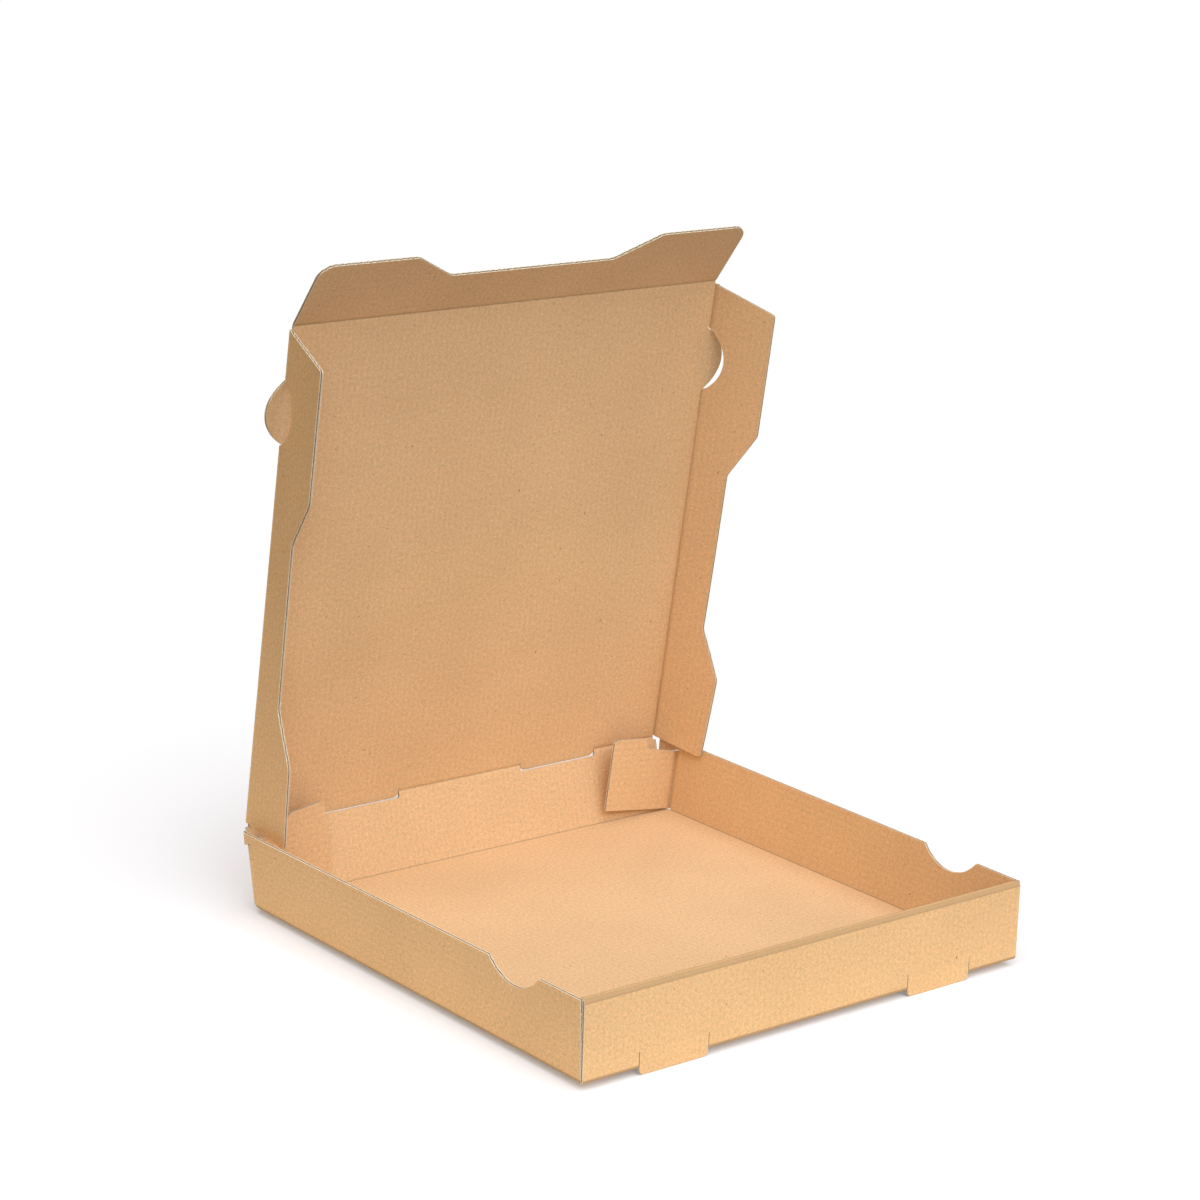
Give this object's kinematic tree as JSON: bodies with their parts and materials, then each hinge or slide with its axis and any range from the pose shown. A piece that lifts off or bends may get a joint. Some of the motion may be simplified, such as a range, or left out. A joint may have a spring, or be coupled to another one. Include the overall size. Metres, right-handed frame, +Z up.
{
  "type": "pizza box",
  "caption": "Square corrugated pizza box standing open: rolled front wall with locked tongues, thumb notches, flapped lid with half-moon tabs, hinged on a leaning rear wall.",
  "frame": {"origin": "middle of the base panel's underside", "axes": "+Z up; -Y towards the rolled front wall; +X to the right seen from the front; the lid hangs on the rear wall at +Y"},
  "size_m": [0.2789, 0.2718, 0.3251],
  "materials": {
    "board": "matt kraft"
  },
  "bodies": {
    "tray": {"tray": "board"},
    "lid": {"lid_panel": "board"},
    "lid_front_flap": {"lid_front_flap": "board"},
    "lid_left_flap": {"lid_left_flap": "board"},
    "lid_right_flap": {"lid_right_flap": "board"},
    "left_corner_flap": {"left_corner_flap": "board"},
    "right_corner_flap": {"right_corner_flap": "board"}
  },
  "joints": [
    {"name": "lid_hinge", "type": "hinge", "parent": "tray", "child": "lid", "pos_m": [0, 0.14006, 0.03934], "axis": [-1, 0, 0], "range_deg": [0, 98.2]},
    {"name": "lid_front_flap_fold", "type": "hinge", "parent": "lid", "child": "lid_front_flap", "pos_m": [0, 0.10381, 0.29094], "axis": [1, 0, 0], "range_deg": [-29, 61]},
    {"name": "lid_left_flap_fold", "type": "hinge", "parent": "lid", "child": "lid_left_flap", "pos_m": [-0.12795, 0.12194, 0.16514], "axis": [0, -0.1426, 0.9898], "range_deg": [-85, 5]},
    {"name": "lid_right_flap_fold", "type": "hinge", "parent": "lid", "child": "lid_right_flap", "pos_m": [0.12795, 0.12194, 0.16514], "axis": [0, 0.1426, -0.9898], "range_deg": [-69, 21]},
    {"name": "left_corner_flap_fold", "type": "hinge", "parent": "tray", "child": "left_corner_flap", "pos_m": [-0.13203, 0.1271, 0.02003], "axis": [0.1305, 0, -0.9914], "range_deg": [0, 84]},
    {"name": "right_corner_flap_fold", "type": "hinge", "parent": "tray", "child": "right_corner_flap", "pos_m": [0.13203, 0.1271, 0.02003], "axis": [0.1305, 0, 0.9914], "range_deg": [0, 80]}
  ]
}
